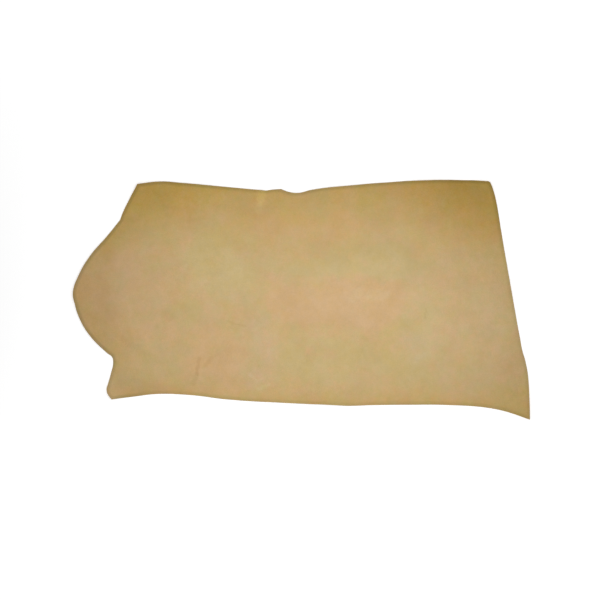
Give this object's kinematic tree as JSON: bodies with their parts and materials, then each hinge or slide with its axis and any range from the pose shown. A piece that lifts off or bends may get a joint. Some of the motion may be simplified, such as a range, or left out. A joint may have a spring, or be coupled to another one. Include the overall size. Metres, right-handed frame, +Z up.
{
  "type": "leather hide",
  "caption": "Single bend of natural vegetable-tanned cowhide, laid flat grain side up, with a rounded butt end, tail notch, belly notch and gently curled edges.",
  "frame": {"origin": "middle of the hide's bounding box in plan, at the level of the surface that it lies on", "axes": "+X along the backbone from the rounded butt to the straight shoulder cut, +Y from the backbone cut to the belly cut, +Z up, out of the grain side"},
  "size_m": [1.4002, 0.7346, 0.0131],
  "materials": {
    "leather": "natural undyed vegetable-tanned grain, satin, with paler fibrous flesh side"
  },
  "bodies": {
    "root": {"hide": "leather"}
  },
  "joints": []
}
